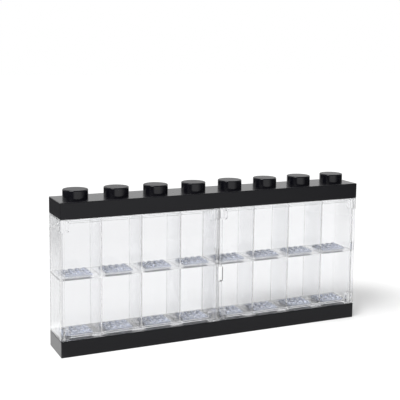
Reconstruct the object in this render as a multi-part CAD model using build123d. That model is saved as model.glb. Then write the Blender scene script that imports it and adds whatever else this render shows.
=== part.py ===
from build123d import *
import os

# A wide display case for small brick figures: a black base and cap with stacking studs, two clear
# racks of compartments between them, and two clear doors that swing out on moulded pegs.
# Millimetres. X runs along the case, -Y is the front with the doors, +Z is up, and the origin is
# the middle of the footprint on the surface that the case stands on.

# Black base and cap
columns = 8
stud_pitch = 47.75
case_depth = 47.0
base_height = 18.5
cap_height = 18.5
window_height = 136.2
shell_wall = 2.5
shell_edge_radius = 0.8

# Studs on the cap, and the fins under the base that they plug between
stud_radius = 14.4
stud_height = 10.8
stud_edge_radius = 1.0
stud_wall = 2.2
socket_clearance = 0.3
fin_thickness = 1.6
fin_rise = 1.0

# Clear racks
rack_inset = 0.3
rack_gap = 0.3
rack_columns = columns // 2
side_wall = 2.2
partition_thickness = 1.8
back_wall = 2.0
floor_thickness = 2.3
shelf_thickness = 2.2

# Snap hooks that hold the racks to the base and the cap
hook_width = 10.0
hook_thickness = 1.6
hook_barb = 0.6
barb_height = 1.8
hook_clearance = 0.15
hook_wall_gap = 0.8
hook_edge_gap = 0.4
hook_offset_pitches = 1.25
catch_height = 2.5

# Stud plates, one in each compartment
plate_stud_pitch = 8.0
plate_studs_long = 4
plate_studs_deep = 3
plate_clearance = 0.1
plate_thickness = 2.0
plate_recess = 0.4
plate_centre_y = 1.6
small_stud_radius = 2.4
small_stud_height = 1.8
small_stud_edge = 0.3

# Clear doors
door_setback = 0.3
door_thickness = 2.0
door_end_gap = 0.3
door_meeting_gap = 0.5
door_rack_gap = 0.3
rim_depth = 3.0
rim_thickness = 1.6
rim_offset = 2.8
lug_width = 11.0
lug_height = 14.0
lug_corner_radius = 3.5
lug_wall = 1.6
notch_depth = 4.9
notch_height = 18.4
notch_rise = 11.0
notch_radius = 2.0

# Nubs on the free corners, which click into dimples in the base and the cap
nub_radius = 1.2
nub_height = 0.25
dimple_clearance = 0.3
dimple_depth = 0.5
nub_inset = 6.0

# Hinges: a knuckle along each outer edge, with a peg at each end; the axis is inset from both faces
knuckle_inset = 3.0
knuckle_corner_radius = 0.8
knuckle_wall = 1.8
knuckle_return = 1.2
knuckle_gap = 0.25
peg_radius = 1.5
peg_clearance = 0.05
peg_length = 2.5
peg_end_gap = 1.0
boss_wall = 2.0

# How far a cut runs past a face, and how far a joined piece runs into its neighbour
overcut = 1.0
overlap = 0.5

# Sizes and places that follow from these
half_length = columns * stud_pitch / 2
half_depth = case_depth / 2
window_bottom = base_height
window_top = base_height + window_height
cap_top = window_top + cap_height
inner_x = half_length - shell_wall
inner_y = half_depth - shell_wall
socket_radius = stud_radius + socket_clearance

door_front = -half_depth + door_setback
door_back = door_front + door_thickness
rim_back = door_back + rim_depth
door_bottom = window_bottom + door_end_gap
door_top = window_top - door_end_gap
middle_z = (window_bottom + window_top) / 2
meeting_edge = -door_meeting_gap / 2

rack_outer = -half_length + rack_inset
rack_inner = -rack_gap / 2
rack_front = rim_back + door_rack_gap
rack_rear = half_depth - rack_inset
rack_middle = -rack_columns * stud_pitch / 2
floor_top = window_bottom + floor_thickness
ceiling = window_top - floor_thickness
row_height = (ceiling - floor_top - shelf_thickness) / 2
shelf_top = floor_top + row_height + shelf_thickness

hinge_x = rack_outer + knuckle_inset
hinge_y = door_front + knuckle_inset
corner_reach = (knuckle_inset - knuckle_corner_radius) * 2**0.5 + knuckle_corner_radius
return_reach = (knuckle_inset**2 + knuckle_return**2) ** 0.5
nub_x = meeting_edge - nub_inset
nub_y = (door_front + rim_back) / 2
peg_hole_radius = peg_radius + peg_clearance
peg_hole_depth = peg_length + peg_end_gap

plate_length = plate_studs_long * plate_stud_pitch - 2 * plate_clearance
plate_width = plate_studs_deep * plate_stud_pitch - 2 * plate_clearance

stud_centres = [-half_length + (i + 0.5) * stud_pitch for i in range(columns)]
cell_edges = [-half_length + i * stud_pitch for i in range(1, columns)]
row_floors = {"lower": floor_top, "upper": shelf_top}
hook_centres = [rack_middle + side * hook_offset_pitches * stud_pitch for side in (-1, 1)]

# Places are given for the left rack and door; a factor of -1 on X mirrors them to the right
as_drawn_and_mirrored = (1, -1)

# Each hook's outer face, and the way that its barb points
hook_faces = [(rack_front + hook_edge_gap, -1), (inner_y - hook_wall_gap, 1)]


def block(x_span, y_span, z_span):
    """A box between two corners, whose spans may be given in either order."""
    spans = [sorted(span) for span in (x_span, y_span, z_span)]
    middle = [(low + high) / 2 for low, high in spans]
    return Pos(*middle) * Box(*[high - low for low, high in spans])


def centred(middle, width):
    """The span of a given width about a middle."""
    return (middle - width / 2, middle + width / 2)


def upright(x, y, radius, z_span):
    """A round post along Z."""
    low, high = sorted(z_span)
    return Pos(x, y, (low + high) / 2) * Cylinder(radius, high - low)


def rounded_stud(radius, height, edge_radius):
    """A stud on the XY plane with its upper edge rounded."""
    stud = Pos(0, 0, height / 2) * Cylinder(radius, height)
    return fillet(stud.edges().sort_by(Axis.Z)[-1], edge_radius)


def shell_blank(z_span):
    """The outer block of the base or the cap, with its edges rounded."""
    blank = block((-half_length, half_length), (-half_depth, half_depth), z_span)
    return fillet(blank.edges(), shell_edge_radius)


def socket_fins():
    """Fins under the base that grip the studs of a case stacked below."""
    z_span = (fin_rise, base_height - shell_wall / 2)
    fins = []
    for x in stud_centres:
        for side in (-1, 1):
            fins.append(
                block(
                    centred(x, fin_thickness),
                    (side * socket_radius, side * (inner_y + shell_wall / 2)),
                    z_span,
                )
            )
    for x in cell_edges:
        fins.append(block(centred(x, fin_thickness), (-half_depth + overcut, half_depth - overcut), z_span))
        reach = stud_pitch - 2 * socket_radius
        fins.append(block(centred(x, reach), centred(0, fin_thickness), z_span))
    for side in (-1, 1):
        end_tip = side * (half_length - stud_pitch / 2 + socket_radius)
        end_root = side * (inner_x + shell_wall / 2)
        fins.append(block((end_tip, end_root), centred(0, fin_thickness), z_span))
    return fins


def hinge_boss(side, face_z, into):
    """The block behind a corner that the peg hole is sunk into, from a face along +Z or -Z."""
    reach = peg_hole_radius + boss_wall
    return block(
        (side * (-inner_x - shell_wall / 2), side * (hinge_x + reach)),
        (-inner_y - shell_wall / 2, hinge_y + reach),
        (face_z, face_z + into * (peg_hole_depth + boss_wall)),
    )


def peg_hole(side, face_z, into):
    """A blind hole for a door's peg."""
    z_span = (face_z - into * overcut, face_z + into * peg_hole_depth)
    return upright(side * hinge_x, hinge_y, peg_hole_radius, z_span)


def latch_boss(side):
    """The block behind the cap's front wall that the upper dimple is sunk into."""
    reach = nub_radius + dimple_clearance + boss_wall
    return block(
        centred(side * nub_x, 2 * reach),
        (-inner_y - shell_wall / 2, nub_y + reach),
        (window_top, window_top + dimple_depth + boss_wall),
    )


def dimple(side, face_z, into):
    """The hollow that a door's nub clicks into."""
    z_span = (face_z - into * overcut, face_z + into * dimple_depth)
    return upright(side * nub_x, nub_y, nub_radius + dimple_clearance, z_span)


def base_shell():
    """The black base: a deck on a hollow skirt, with socket fins, hook slots and hinge holes."""
    deck_under = base_height - shell_wall
    shell = shell_blank((0, base_height))
    shell -= block((-inner_x, inner_x), (-inner_y, inner_y), (-overcut, deck_under))
    shell = shell + socket_fins()
    for side in as_drawn_and_mirrored:
        shell += hinge_boss(side, base_height - shell_wall / 2, -1)
        shell -= peg_hole(side, base_height, -1)
        shell -= dimple(side, base_height, -1)
        for x in hook_centres:
            for face, outward in hook_faces:
                inward_room = hook_thickness + hook_barb + hook_clearance
                shell -= block(
                    centred(side * x, hook_width + 2 * hook_clearance),
                    (face + outward * hook_clearance, face - outward * inward_room),
                    (deck_under - overcut, base_height + overcut),
                )
    return shell


def cap_shell():
    """The black cap: an open-bottomed box with hollow studs, hook catches and hinge holes."""
    deck_under = cap_top - shell_wall
    shell = shell_blank((window_top, cap_top))
    hollow = block((-inner_x, inner_x), (-inner_y, inner_y), (window_top - overcut, deck_under))
    stud = rounded_stud(stud_radius, stud_height + shell_wall / 2, stud_edge_radius)
    stud_hollow_top = cap_top + stud_height - shell_wall
    for x in stud_centres:
        shell += Pos(x, 0, cap_top - shell_wall / 2) * stud
        hollow += upright(x, 0, stud_radius - stud_wall, (deck_under - overcut, stud_hollow_top))
    shell -= hollow
    for side in as_drawn_and_mirrored:
        shell += hinge_boss(side, window_top, 1)
        shell += latch_boss(side)
        shell -= peg_hole(side, window_top, 1)
        shell -= dimple(side, window_top, 1)
        for x in hook_centres:
            for face, outward in hook_faces:
                shell += block(
                    centred(side * x, hook_width),
                    (face + outward * hook_clearance, outward * (inner_y + shell_wall / 2)),
                    (window_top, window_top + catch_height),
                )
    return shell


def snap_hook(x, face, outward, root_z, into, grip):
    """A leg with a barb beyond the thickness that it grips, standing on a face along +Z or -Z."""
    barb_foot = root_z + into * (grip + hook_clearance)
    tip = barb_foot + into * barb_height
    leg_span = (face, face - outward * hook_thickness)
    x_span = centred(x, hook_width)
    leg = block(x_span, leg_span, (root_z - into * floor_thickness / 2, tip))
    return leg + block(x_span, (face + outward * hook_barb, face - outward * overcut), (barb_foot, tip))


def compartment_spans():
    """The X spans of the left rack's compartments."""
    walls = [(rack_outer, rack_outer + side_wall)]
    walls += [centred(x, partition_thickness) for x in cell_edges[: rack_columns - 1]]
    walls += [(rack_inner - partition_thickness, rack_inner)]
    return [(left[1], right[0]) for left, right in zip(walls, walls[1:])]


def left_rack():
    """One clear moulding of compartments, open at the front, with a recess for each plate."""
    rack = block((rack_outer, rack_inner), (rack_front, rack_rear), (window_bottom, window_top))
    for floor in row_floors.values():
        for x_span in compartment_spans():
            inside = (rack_front - overcut, rack_rear - back_wall)
            rack -= block(x_span, inside, (floor, floor + row_height))
        for x in stud_centres[:rack_columns]:
            recess_x = centred(x, plate_length + 2 * plate_clearance)
            recess_y = centred(plate_centre_y, plate_width + 2 * plate_clearance)
            rack -= block(recess_x, recess_y, (floor - plate_recess, floor + overcut))
    for x in hook_centres:
        for face, outward in hook_faces:
            rack += snap_hook(x, face, outward, window_bottom, -1, shell_wall)
            rack += snap_hook(x, face, outward, window_top, 1, catch_height)
    clearance = max(corner_reach, return_reach) + knuckle_gap
    return rack - upright(hinge_x, hinge_y, clearance, (window_bottom - overcut, window_top + overcut))


def stud_plate(x, floor):
    """A clear plate of small studs, seated in its recess."""
    foot = floor - plate_recess
    outline = (centred(x, plate_length), centred(plate_centre_y, plate_width))
    plate = block(*outline, (foot, foot + plate_thickness))
    plate = fillet(plate.edges().filter_by(Axis.Z), small_stud_edge)
    stud = rounded_stud(small_stud_radius, small_stud_height, small_stud_edge)
    studs = [
        Pos(x + place.position.X, plate_centre_y + place.position.Y, foot + plate_thickness) * stud
        for place in GridLocations(plate_stud_pitch, plate_stud_pitch, plate_studs_long, plate_studs_deep)
    ]
    return plate + studs


def lug(x_span, z_span, y_span, corner_radius):
    """A block at the back of a door's corner, rounded where it faces the door's middle."""
    body = block(x_span, y_span, z_span)
    door_middle = ((hinge_x + meeting_edge) / 2, rim_back, middle_z)
    inner_edge = body.edges().filter_by(Axis.Y).sort_by_distance(door_middle)[0]
    return fillet(inner_edge, corner_radius)


def add_lug(door, x_root, x_tip, z_root, z_tip, wall_x):
    """The door with a hollow lug in one corner; wall_x is how thick its outer side is."""
    x_way = 1 if x_tip > x_root else -1
    z_way = 1 if z_tip > z_root else -1
    door += lug((x_root, x_tip), (z_root, z_tip), (door_front + overlap, rim_back), lug_corner_radius)
    pocket_x = (x_root + x_way * wall_x, x_tip - x_way * lug_wall)
    pocket_z = (z_root + z_way * lug_wall, z_tip - z_way * lug_wall)
    pocket = lug(pocket_x, pocket_z, (door_back, rim_back + overcut), lug_corner_radius - lug_wall)
    return door - pocket


def rim_block(inset, y_span):
    """A block over the door's outline, drawn in by an inset."""
    x_span = (rack_outer + inset, meeting_edge - inset)
    return block(x_span, y_span, (door_bottom + inset, door_top - inset))


def knuckle():
    """The hinge edge of a door, with a short return down the case's side."""
    back = hinge_y + knuckle_return
    edge = block((rack_outer, hinge_x), (door_front, back), (door_bottom, door_top))
    corner = edge.edges().filter_by(Axis.Z).sort_by_distance((rack_outer, door_front, middle_z))[0]
    edge = fillet(corner, knuckle_corner_radius)
    inside = (rack_outer + knuckle_wall, hinge_x + overcut)
    return edge - block(inside, (door_back, back + overcut), (door_bottom - overcut, door_top + overcut))


def finger_notch():
    """The notch in a door's free edge, above its middle, that a fingertip pulls on."""
    x_span = (meeting_edge - notch_depth, meeting_edge + notch_radius + overcut)
    z_span = centred(middle_z + notch_rise, notch_height)
    notch = block(x_span, (door_front - overcut, rim_back + overcut), z_span)
    return fillet(notch.edges().filter_by(Axis.Y).sort_by(Axis.X)[:2], notch_radius)


def left_door():
    """A clear door: panel, rim, corner lugs, finger notch, hinge knuckle and its two pegs."""
    door = block((hinge_x, meeting_edge), (door_front, door_back), (door_bottom, door_top))
    door += rim_block(rim_offset, (door_front + overlap, rim_back))
    door -= rim_block(rim_offset + rim_thickness, (door_back, rim_back + overcut))
    door += knuckle()
    hinge_lug_wall = knuckle_inset
    for z_root, z_way in ((door_bottom, 1), (door_top, -1)):
        z_tip = z_root + z_way * lug_height
        door = add_lug(door, hinge_x, rack_outer + lug_width, z_root, z_tip, hinge_lug_wall)
        door = add_lug(door, meeting_edge, meeting_edge - lug_width, z_root, z_tip, lug_wall)
        door += upright(hinge_x, hinge_y, knuckle_inset, (z_root, z_tip))
        peg_tip = z_root - z_way * (door_end_gap + peg_length)
        door += upright(hinge_x, hinge_y, peg_radius, (peg_tip, z_tip))
        nub_tip = z_root - z_way * nub_height
        door += upright(nub_x, nub_y, nub_radius, (nub_tip, z_tip))
    return door - finger_notch()


def turned_over(door):
    """The same moulding turned over about the case's middle, which makes the other door of it."""
    return Pos(0, 0, 2 * middle_z) * Rot(0, 180, 0) * door


def build():
    """Every piece, by its name."""
    rack, door = left_rack(), left_door()
    pieces = {
        "base_shell": base_shell(),
        "cap_shell": cap_shell(),
        "left_rack": rack,
        "right_rack": mirror(rack, about=Plane.YZ),
        "left_door": door,
        "right_door": turned_over(door),
    }
    for row, floor in row_floors.items():
        for number, x in enumerate(stud_centres, start=1):
            pieces[f"{row}_plate_{number}"] = stud_plate(x, floor)
    return pieces


os.makedirs("parts", exist_ok=True)
for name, piece in build().items():
    export_step(piece, f"parts/{name}.step")
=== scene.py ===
import math

import bmesh
import bpy
from mathutils import Matrix, Vector


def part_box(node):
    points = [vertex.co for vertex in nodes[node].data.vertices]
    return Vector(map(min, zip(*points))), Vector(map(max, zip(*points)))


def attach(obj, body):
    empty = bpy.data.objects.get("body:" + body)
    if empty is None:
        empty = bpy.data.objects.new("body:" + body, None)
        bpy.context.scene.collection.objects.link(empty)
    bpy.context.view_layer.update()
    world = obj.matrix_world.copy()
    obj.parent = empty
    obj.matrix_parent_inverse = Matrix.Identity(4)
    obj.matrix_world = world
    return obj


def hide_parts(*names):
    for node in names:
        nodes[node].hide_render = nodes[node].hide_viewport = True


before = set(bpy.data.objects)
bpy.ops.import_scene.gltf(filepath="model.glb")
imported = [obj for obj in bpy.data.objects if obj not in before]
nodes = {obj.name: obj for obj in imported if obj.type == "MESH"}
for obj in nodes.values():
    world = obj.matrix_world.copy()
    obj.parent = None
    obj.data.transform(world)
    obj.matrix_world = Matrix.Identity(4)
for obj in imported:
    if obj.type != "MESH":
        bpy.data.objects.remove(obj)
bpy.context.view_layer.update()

# A clear display case with a black base and a black studded cap, on a white floor.
# Metres. X runs along the case, -Y is the front with the doors, and +Z is up.
# A span is a start and an end, and a ramp is a span with the brightness at its start and end.

MM = 0.001

# The camera of the photograph, fitted to the case's corners and studs
FRAME_PIXELS = 400
SENSOR_MM = 36.0
FOCAL_PIXELS = 866.0
AXIS_PIXEL = (202.0, 152.0)
CAMERA_AT = Vector((-0.437, -0.918, 0.344))
CAMERA_AZIMUTH = math.radians(-24.79)
CAMERA_ELEVATION = math.radians(7.07)
CAMERA_ROLL = math.radians(0.65)
LIGHT_BOUNCES = 32

# Softened edges on the clear mouldings, and the air between them and the shells
EDGE_BEVEL = 0.25 * MM
BEVEL_SEGMENTS = 2
BEVEL_ANGLE = math.radians(40)
SHARP_ANGLE = math.radians(30)
LARGEST_FACE_WEIGHT = 100
FLAT_ANGLE = math.radians(0.5)
WELD_DISTANCE = 0.002 * MM
ON_SHELL = 0.01 * MM
AIR_GAP = 0.03 * MM

# Black plastic. The finish changes at the studs' feet. At the edges of the studs' tops the reflection
# fades almost to nothing, a painted shade that darkens the tops.
BLACK = (0.005, 0.005, 0.0075)
BLACK_IOR = 1.5
STUD_HEIGHT = 10.8 * MM
ABOUT_FOOT = (-0.4 * MM, 0.6 * MM)
BELOW_TOP = (0.6 * MM, 0.1 * MM)
WALL_ROUGHNESS = 0.36
STUD_ROUGHNESS = 0.13
SPECULAR = 0.5
# Painted shade: the stud tops' reflection level, turned almost off so the tops read dark
PAINTED_DARK_TOP_SPECULAR = 0.02
GRAIN_SCALE = 2600.0
GRAIN_DEPTH = 0.012 * MM
GRAIN_ROUGHNESS = 0.03

# Clear plastic: its index, its waves per metre, and the finish of the racks and doors
CLEAR_IOR = 1.58
WAVE_SCALE = 60.0
WAVE_DEPTH = 0.008 * MM
POLISHED = (0.0, 0.006)
RACK_TINT = (0.95, 0.955, 0.965)
RACK_BODY = 0.8
DOOR_TINT = (0.97, 0.972, 0.98)

# The cloudy stud plates
PLATE_TINT = (0.74, 0.78, 0.9)
PLATE_CLARITY = 0.4
PLATE_WAVE_DEPTH = 0.02 * MM
PLATE_ROUGHNESS = (0.02, 0.06)

NOISE_DETAIL = 2.0
NOISE_SPAN = (0.3, 0.7)

# Light on the case
AMBIENT = 0.7
LAMP_AT = Vector((-1.2, -0.7, 1.3))
LAMP_AIM = Vector((0, 0, 0.08))
LAMP_SIZE = 0.9
LAMP_WATTS = 22.0

# The white floor, and where the case's shadow on it is kept
FLOOR_SIZE = 16.0
FLOOR_DROP = 0.1 * MM
FLOOR_PAINT = (0.9, 0.9, 0.9, 1.0)
WHITE = 1.12
LIT_RAMP = ((0.35, 0.8), (0.88, 1.0))
SHADED = 0.0
SHADOW_WAY = (0.85, 0.53, 0.0)
SHADOW_SPAN = (0.05, 0.16)
SHADOW_CORNER = (0.215, 0.03, 0.0)
SHADOW_REACH_SPAN = (0.16, 0.04)
FRONT_TO_SIDE_SPAN = (-0.06, 0.0)

# How bright the floor looks through clear plastic: near and far ramps along X, blended along Y
THROUGH_NEAR_RAMP = ((-0.15, 0.2), (0.98, 1.09))
THROUGH_FAR_RAMP = ((0.1, 0.6), (0.92, 0.99))
THROUGH_SPAN = (0.3, 0.6)

# How bright the studio looks in what shines. Azimuths run from the front towards +X.
WORLD_RAMP = ((-0.2, 0.6), (0.1, 1.0))
NEAR_FRONT = 0.45
NEAR_LEFT_RAMP = ((0.07, 0.12), (1.6, 0.75))
LEFT_END_SPAN = (-0.18, -0.195)
NEAR_TO_FAR_SPAN = (0.45, 0.7)
FAR_DARK = 0.06
FAR_FRONT_RAMP = ((0.2, 1.0), (0.82, 0.0))
FRONT_AZIMUTH = math.radians(13)
FRONT_HALF_WIDTH = math.radians(50)
BACK_AZIMUTH = math.radians(153)
BACK_HALF_WIDTH = math.radians(34)
SECTOR_EDGE = math.radians(8)


def make_camera():
    """The photograph's viewpoint, with the lens shifted as its crop was."""
    cos_e = math.cos(CAMERA_ELEVATION)
    back = Vector((
        math.sin(CAMERA_AZIMUTH) * cos_e,
        -math.cos(CAMERA_AZIMUTH) * cos_e,
        math.sin(CAMERA_ELEVATION),
    ))
    right = (-back).cross(Vector((0, 0, 1))).normalized()
    up = right.cross(-back)
    rolled_right = right * math.cos(CAMERA_ROLL) + up * math.sin(CAMERA_ROLL)
    rolled_up = up * math.cos(CAMERA_ROLL) - right * math.sin(CAMERA_ROLL)
    camera = bpy.data.objects.new("camera", bpy.data.cameras.new("camera"))
    camera.data.sensor_width = SENSOR_MM
    camera.data.lens = FOCAL_PIXELS / FRAME_PIXELS * SENSOR_MM
    camera.data.shift_x = (FRAME_PIXELS / 2 - AXIS_PIXEL[0]) / FRAME_PIXELS
    camera.data.shift_y = (AXIS_PIXEL[1] - FRAME_PIXELS / 2) / FRAME_PIXELS
    turn = Matrix((rolled_right, rolled_up, back)).transposed().to_4x4()
    camera.matrix_world = Matrix.Translation(CAMERA_AT) @ turn
    bpy.context.scene.collection.objects.link(camera)
    bpy.context.scene.camera = camera


def add(tree, kind, **values):
    """A node with its properties and its unlinked inputs set by name."""
    node = tree.nodes.new(kind)
    for name, value in values.items():
        if hasattr(node, name):
            setattr(node, name, value)
        else:
            node.inputs[name].default_value = value
    return node


def smooth_step(tree, source, span, levels=(0.0, 1.0)):
    """A soft step from one level to the other as a value goes along a span."""
    step = add(tree, "ShaderNodeMapRange", interpolation_type="SMOOTHSTEP")
    for socket, value in zip(("From Min", "From Max", "To Min", "To Max"), (*span, *levels)):
        step.inputs[socket].default_value = value
    tree.links.new(source, step.inputs["Value"])
    return step.outputs["Result"]


def combine(tree, operation, first, second):
    """A Math node of two sockets."""
    node = add(tree, "ShaderNodeMath", operation=operation)
    tree.links.new(first, node.inputs[0])
    tree.links.new(second, node.inputs[1])
    return node.outputs[0]


def blend(tree, factor, first, second):
    """A value mixed from two numbers or sockets."""
    mix = add(tree, "ShaderNodeMix", data_type="FLOAT")
    tree.links.new(factor, mix.inputs["Factor"])
    for socket, value in ((mix.inputs["A"], first), (mix.inputs["B"], second)):
        if isinstance(value, (int, float)):
            socket.default_value = value
        else:
            tree.links.new(value, socket)
    return mix.outputs["Result"]


def vector_math(tree, operation, first, second=(0.0, 0.0, 0.0)):
    """A Vector Math node of a socket and a constant."""
    node = add(tree, "ShaderNodeVectorMath", operation=operation)
    tree.links.new(first, node.inputs[0])
    node.inputs[1].default_value = second
    return node.outputs["Value" if operation in ("LENGTH", "DOT_PRODUCT") else "Vector"]


def axis_value(tree, vector, axis):
    """X, Y or Z of a vector socket."""
    split = add(tree, "ShaderNodeSeparateXYZ")
    tree.links.new(vector, split.inputs["Vector"])
    return split.outputs[axis]


def mix_shaders(tree, factor, first, second):
    """A shader mixed from two."""
    mix = add(tree, "ShaderNodeMixShader")
    tree.links.new(factor, mix.inputs["Fac"])
    tree.links.new(first, mix.inputs[1])
    tree.links.new(second, mix.inputs[2])
    return mix.outputs[0]


def glow(tree, strength):
    """A white shader of a given brightness."""
    emission = add(tree, "ShaderNodeEmission")
    tree.links.new(strength, emission.inputs["Strength"])
    return emission.outputs[0]


def new_plastic(name, colour, ior):
    """A plastic, with its node tree and its shader."""
    material = bpy.data.materials.new(name)
    material.use_nodes = True
    shader = material.node_tree.nodes["Principled BSDF"]
    shader.inputs["Base Color"].default_value = (*colour, 1.0)
    shader.inputs["IOR"].default_value = ior
    return material, material.node_tree, shader


def add_bump(tree, shader, scale, distance):
    """Fine relief of a given depth, on a noise of a given scale per metre."""
    place = add(tree, "ShaderNodeTexCoord").outputs["Object"]
    noise = add(tree, "ShaderNodeTexNoise", Scale=scale, Detail=NOISE_DETAIL)
    bump = add(tree, "ShaderNodeBump", Strength=1.0, Distance=distance)
    tree.links.new(place, noise.inputs["Vector"])
    tree.links.new(noise.outputs["Fac"], bump.inputs["Height"])
    tree.links.new(bump.outputs["Normal"], shader.inputs["Normal"])
    return noise.outputs["Fac"], place


def black_plastic():
    """Moulded black plastic: satin walls, polished studs whose tops are darkened by painted shade, and a
    fine skin.
    """
    material, tree, shader = new_plastic("black moulded plastic", BLACK, BLACK_IOR)
    noise, place = add_bump(tree, shader, GRAIN_SCALE, GRAIN_DEPTH)
    height = axis_value(tree, place, "Z")
    stud_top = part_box("cap_shell")[1].z
    foot_span = [stud_top - STUD_HEIGHT + above for above in ABOUT_FOOT]
    top_span = [stud_top - below for below in BELOW_TOP]
    gloss = smooth_step(tree, height, foot_span, (WALL_ROUGHNESS, STUD_ROUGHNESS))
    grain = smooth_step(tree, noise, NOISE_SPAN, (-GRAIN_ROUGHNESS, GRAIN_ROUGHNESS))
    # Painted shade: the reflection fades almost to nothing on the studs' tops, so they read dark
    wall_specular_and_painted_dark_tops = smooth_step(tree, height, top_span, (SPECULAR, PAINTED_DARK_TOP_SPECULAR))
    tree.links.new(combine(tree, "ADD", gloss, grain), shader.inputs["Roughness"])
    tree.links.new(wall_specular_and_painted_dark_tops, shader.inputs["Specular IOR Level"])
    return material


def clear_plastic(name, tint, clarity=1.0, body=1.0, roughness=POLISHED, wave_depth=WAVE_DEPTH):
    """Clear plastic, with the slow waves of a moulded sheet and a little haze."""
    material, tree, shader = new_plastic(name, tint, CLEAR_IOR)
    shader.inputs["Transmission Weight"].default_value = clarity
    shader.inputs["Alpha"].default_value = body
    noise, _ = add_bump(tree, shader, WAVE_SCALE, wave_depth)
    tree.links.new(smooth_step(tree, noise, NOISE_SPAN, roughness), shader.inputs["Roughness"])
    return material


def dress(node, material):
    """Gives a CAD node its material."""
    mesh = nodes[node].data
    mesh.materials.clear()
    mesh.materials.append(material)


def soften(node, body, material):
    """A copy of a clear CAD node with softened edges and a little air over and under it."""
    shape = bmesh.new()
    shape.from_mesh(nodes[node].data)
    bmesh.ops.remove_doubles(shape, verts=shape.verts, dist=WELD_DISTANCE)
    bmesh.ops.dissolve_limit(shape, angle_limit=FLAT_ANGLE, verts=shape.verts, edges=shape.edges)
    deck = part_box("base_shell")[1].z
    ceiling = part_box("cap_shell")[0].z
    for vertex in shape.verts:
        if abs(vertex.co.z - deck) < ON_SHELL:
            vertex.co.z += AIR_GAP
        elif abs(vertex.co.z - ceiling) < ON_SHELL:
            vertex.co.z -= AIR_GAP
    mesh = bpy.data.meshes.new(f"{node}_softened")
    shape.to_mesh(mesh)
    shape.free()
    mesh.shade_smooth()
    mesh.set_sharp_from_angle(angle=SHARP_ANGLE)
    mesh.materials.clear()
    mesh.materials.append(material)
    piece = bpy.data.objects.new(f"{node}_softened", mesh)
    bpy.context.scene.collection.objects.link(piece)
    bevel = piece.modifiers.new("bevel", "BEVEL")
    bevel.width = EDGE_BEVEL
    bevel.segments = BEVEL_SEGMENTS
    bevel.limit_method = "ANGLE"
    bevel.angle_limit = BEVEL_ANGLE
    flat = piece.modifiers.new("flat faces", "WEIGHTED_NORMAL")
    flat.mode = "FACE_AREA"
    flat.weight = LARGEST_FACE_WEIGHT
    flat.keep_sharp = True
    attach(piece, body)
    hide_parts(node)
    return piece


def ray_kinds(tree):
    """Three switches: seen straight, seen straight or through clear plastic, and mirrored."""
    path = add(tree, "ShaderNodeLightPath").outputs
    direct = path["Is Camera Ray"]
    seen = combine(tree, "MAXIMUM", direct, path["Is Transmission Ray"])
    shiny = combine(tree, "SUBTRACT", path["Is Glossy Ray"], seen)
    shiny.node.use_clamp = True
    return direct, seen, shiny


def make_world():
    """A white studio. What shines sees it brighter behind the case than in front."""
    world = bpy.data.worlds.new("studio")
    world.use_nodes = True
    bpy.context.scene.world = world
    tree = world.node_tree
    background = tree.nodes["Background"]
    background.inputs["Color"].default_value = (1.0, 1.0, 1.0, 1.0)
    _, seen, shiny = ray_kinds(tree)
    direction = add(tree, "ShaderNodeTexCoord").outputs["Generated"]
    mirrored = smooth_step(tree, axis_value(tree, direction, "Y"), *WORLD_RAMP)
    unseen = blend(tree, shiny, AMBIENT, mirrored)
    tree.links.new(blend(tree, seen, unseen, 1.0), background.inputs["Strength"])


def sector(tree, way, azimuth, half_width):
    """1 in a soft-edged sector of the floor round an azimuth."""
    middle = (math.sin(azimuth), -math.cos(azimuth), 0.0)
    span = (math.cos(half_width + SECTOR_EDGE), math.cos(half_width - SECTOR_EDGE))
    return smooth_step(tree, vector_math(tree, "DOT_PRODUCT", way, middle), span)


def mirrored_floor(tree, place):
    """How bright the floor looks in what shines: most beside the left end and in two far sectors."""
    x = axis_value(tree, place, "X")
    y = axis_value(tree, place, "Y")
    beside = combine(
        tree, "MULTIPLY", smooth_step(tree, x, LEFT_END_SPAN), smooth_step(tree, y, FRONT_TO_SIDE_SPAN))
    near = blend(tree, beside, NEAR_FRONT, smooth_step(tree, y, *NEAR_LEFT_RAMP))
    way = vector_math(tree, "NORMALIZE", place)
    ahead = sector(tree, way, FRONT_AZIMUTH, FRONT_HALF_WIDTH)
    front = blend(tree, ahead, FAR_DARK, smooth_step(tree, x, *FAR_FRONT_RAMP))
    back = sector(tree, way, BACK_AZIMUTH, BACK_HALF_WIDTH)
    far_off = smooth_step(tree, vector_math(tree, "LENGTH", place), NEAR_TO_FAR_SPAN)
    return blend(tree, far_off, near, combine(tree, "MAXIMUM", front, back))


def shelter(tree, place):
    """1 on the floor in the case's shadow, close behind the case and past its right end."""
    past_corner = vector_math(tree, "SUBTRACT", place, SHADOW_CORNER)
    past_end = vector_math(tree, "MAXIMUM", past_corner, (0.0, -FLOOR_SIZE, 0.0))
    gap = vector_math(tree, "LENGTH", past_end)
    along = vector_math(tree, "DOT_PRODUCT", place, SHADOW_WAY)
    close = combine(
        tree, "MULTIPLY", smooth_step(tree, along, SHADOW_SPAN), smooth_step(tree, gap, SHADOW_REACH_SPAN))
    behind = smooth_step(tree, axis_value(tree, place, "Y"), FRONT_TO_SIDE_SPAN)
    return combine(tree, "MULTIPLY", close, behind)


def lit_floor(tree, place, direct):
    """How bright the floor is where no shadow falls, straight and through clear plastic."""
    x = axis_value(tree, place, "X")
    near = smooth_step(tree, x, *THROUGH_NEAR_RAMP)
    far = smooth_step(tree, x, *THROUGH_FAR_RAMP)
    far_off = smooth_step(tree, axis_value(tree, place, "Y"), THROUGH_SPAN)
    return blend(tree, direct, blend(tree, far_off, near, far), WHITE)


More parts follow.
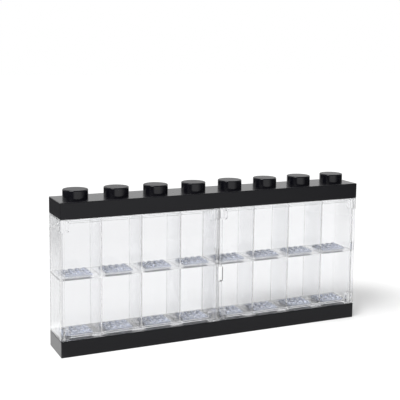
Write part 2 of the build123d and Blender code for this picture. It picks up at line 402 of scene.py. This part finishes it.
def make_floor():
    """A floor as white as the background that keeps the case's shadow, and is clear from below."""
    bpy.ops.mesh.primitive_plane_add(size=FLOOR_SIZE, location=(0, 0, -FLOOR_DROP))
    floor = bpy.context.object
    floor.name = "floor"
    material = bpy.data.materials.new("white floor")
    material.use_nodes = True
    tree = material.node_tree
    tree.nodes.remove(tree.nodes["Principled BSDF"])
    geometry = add(tree, "ShaderNodeNewGeometry").outputs
    place = geometry["Position"]
    direct, seen, shiny = ray_kinds(tree)
    unshaded = smooth_step(tree, vector_math(tree, "LENGTH", place), *LIT_RAMP)
    lift = blend(tree, shelter(tree, place), unshaded, SHADED)
    paint = add(tree, "ShaderNodeBsdfDiffuse", Color=FLOOR_PAINT).outputs[0]
    clear = add(tree, "ShaderNodeBsdfTransparent").outputs[0]
    white = glow(tree, lit_floor(tree, place, direct))
    lifted = mix_shaders(tree, combine(tree, "MULTIPLY", seen, lift), paint, white)
    finish = mix_shaders(tree, shiny, lifted, glow(tree, mirrored_floor(tree, place)))
    one_sided = mix_shaders(tree, geometry["Backfacing"], finish, clear)
    tree.links.new(one_sided, tree.nodes["Material Output"].inputs["Surface"])
    floor.data.materials.append(material)


def make_lamp():
    """A soft square lamp on the front left."""
    data = bpy.data.lights.new("key", "AREA")
    data.shape = "SQUARE"
    data.size = LAMP_SIZE
    data.energy = LAMP_WATTS
    lamp = bpy.data.objects.new("key", data)
    lamp.location = LAMP_AT
    lamp.rotation_euler = (LAMP_AIM - LAMP_AT).to_track_quat("-Z", "Y").to_euler()
    bpy.context.scene.collection.objects.link(lamp)


make_camera()
make_world()
make_floor()
make_lamp()

black = black_plastic()
clear_rack = clear_plastic("clear rack plastic", RACK_TINT, body=RACK_BODY)
clear_door = clear_plastic("clear door plastic", DOOR_TINT)
clear_plate = clear_plastic(
    "clear stud plate plastic", PLATE_TINT,
    clarity=PLATE_CLARITY, roughness=PLATE_ROUGHNESS, wave_depth=PLATE_WAVE_DEPTH)

dress("base_shell", black)
dress("cap_shell", black)
for side in ("left", "right"):
    dress(f"{side}_rack", clear_rack)
    dress(f"{side}_door", clear_door)
    soften(f"{side}_rack", "case", clear_rack)
    door = soften(f"{side}_door", f"door_{side}", clear_door)
    door.visible_shadow = False
for name in nodes:
    if "_plate_" in name:
        dress(name, clear_plate)

bpy.context.scene.view_settings.view_transform = "Standard"
bpy.context.scene.cycles.max_bounces = LIGHT_BOUNCES
bpy.context.scene.cycles.transmission_bounces = LIGHT_BOUNCES
